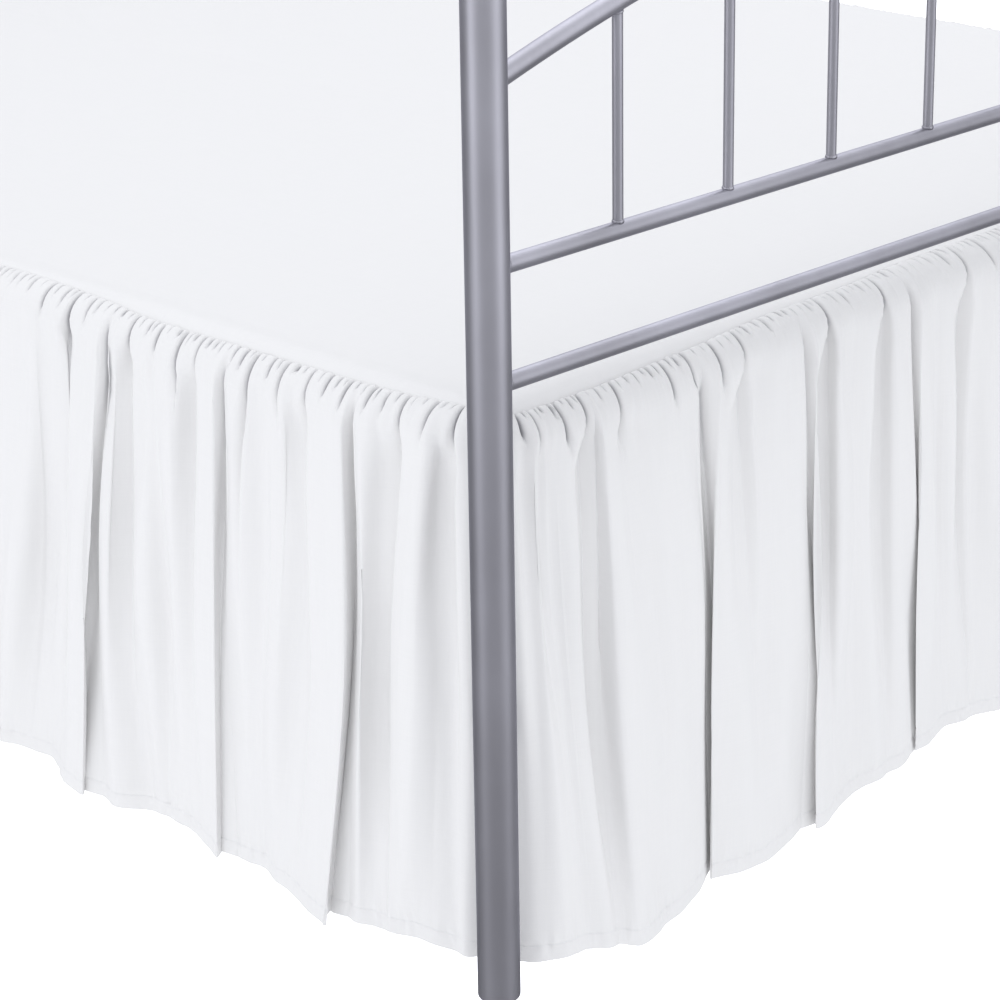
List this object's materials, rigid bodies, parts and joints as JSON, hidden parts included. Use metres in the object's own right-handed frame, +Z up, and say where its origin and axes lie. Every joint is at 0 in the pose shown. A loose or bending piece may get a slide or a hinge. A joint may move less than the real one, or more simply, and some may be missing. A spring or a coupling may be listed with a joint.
{
  "type": "gathered bed skirt on a metal bed with box spring",
  "caption": "Gathered white bed skirt with split foot corners, its deck lying on a box spring on a round-tube metal bed with arched ends.",
  "frame": {"origin": "on the floor under the middle of the whole object", "axes": "+Z up, +Y towards the head of the bed, +X across it to the right seen from the foot"},
  "size_m": [1.6746, 2.2062, 1.1898],
  "materials": {
    "skirt_cloth": "brushed microfibre, matt white",
    "deck_cloth": "plain woven sheet, matt white",
    "ticking": "plain woven ticking",
    "silver_steel": "satin silver",
    "slat_wood": "plain planed"
  },
  "bodies": {
    "root": {"deck": "deck_cloth", "ruffle_left": "skirt_cloth", "ruffle_right": "skirt_cloth", "ruffle_foot": "skirt_cloth", "box_spring": "ticking", "foot_post_left": "silver_steel", "foot_post_right": "silver_steel", "foot_low_rail": "silver_steel", "foot_mid_rail": "silver_steel", "foot_arch": "silver_steel", "foot_bracket_left": "silver_steel", "foot_bracket_right": "silver_steel", "foot_spindle_01": "silver_steel", "foot_spindle_02": "silver_steel", "foot_spindle_03": "silver_steel", "foot_spindle_04": "silver_steel", "foot_spindle_05": "silver_steel", "foot_spindle_06": "silver_steel", "foot_spindle_07": "silver_steel", "foot_spindle_08": "silver_steel", "foot_spindle_09": "silver_steel", "foot_spindle_10": "silver_steel", "head_post_left": "silver_steel", "head_post_right": "silver_steel", "head_low_rail": "silver_steel", "head_mid_rail": "silver_steel", "head_arch": "silver_steel", "head_bracket_left": "silver_steel", "head_bracket_right": "silver_steel", "head_spindle_01": "silver_steel", "head_spindle_02": "silver_steel", "head_spindle_03": "silver_steel", "head_spindle_04": "silver_steel", "head_spindle_05": "silver_steel", "head_spindle_06": "silver_steel", "head_spindle_07": "silver_steel", "head_spindle_08": "silver_steel", "head_spindle_09": "silver_steel", "head_spindle_10": "silver_steel", "side_rail_left": "silver_steel", "side_rail_right": "silver_steel", "slat_1": "slat_wood", "slat_2": "slat_wood", "slat_3": "slat_wood", "slat_4": "slat_wood", "slat_5": "slat_wood"}
  },
  "joints": []
}
